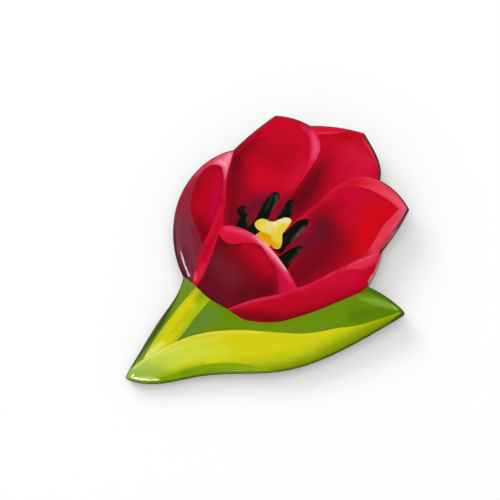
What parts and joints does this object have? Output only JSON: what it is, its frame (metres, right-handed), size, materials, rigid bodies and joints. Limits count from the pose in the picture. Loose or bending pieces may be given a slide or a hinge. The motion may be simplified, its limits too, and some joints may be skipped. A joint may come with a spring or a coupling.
{
  "type": "tulip brooch",
  "caption": "Flat wooden brooch cut and painted as a red tulip with a folded green leaf, under thick clear lacquer, with a bar pin and safety catch on its back.",
  "frame": {"origin": "under the middle of the outline, level with the lowest edge of the safety catch, with the board lying flat and its painted front up", "axes": "+X to the flower's right seen from the front, +Y up the flower, +Z out of the painted front"},
  "size_m": [0.0688, 0.0646, 0.0099],
  "materials": {
    "stained_wood": "dark stained limewood, satin varnish",
    "painted_lacquer": "hand-painted tulip under thick clear gloss lacquer",
    "plated_steel": "nickel plated, lightly brushed",
    "rivet_steel": "plain steel, set cold",
    "wire_steel": "nickel plated, polished",
    "screw_brass": "turned brass"
  },
  "bodies": {
    "brooch": {"wooden_board": "stained_wood", "lacquer_coat": "painted_lacquer", "pin_bar": "plated_steel", "hinge_rivet": "rivet_steel", "catch_housing": "plated_steel", "bar_screw_left": "screw_brass", "bar_screw_right": "screw_brass"},
    "pin": {"pin_stem": "wire_steel"},
    "safety_catch": {"catch_rotor": "wire_steel"}
  },
  "joints": [
    {"name": "pin_hinge", "type": "hinge", "parent": "brooch", "child": "pin", "pos_m": [-0.0102, 0.006, 0.00217], "axis": [0, 1, 0], "range_deg": [0, 100]},
    {"name": "catch_turn", "type": "hinge", "parent": "brooch", "child": "safety_catch", "pos_m": [0.0144, 0.006, 0.00217], "axis": [1, 0, 0], "range_deg": [0, 65]}
  ]
}
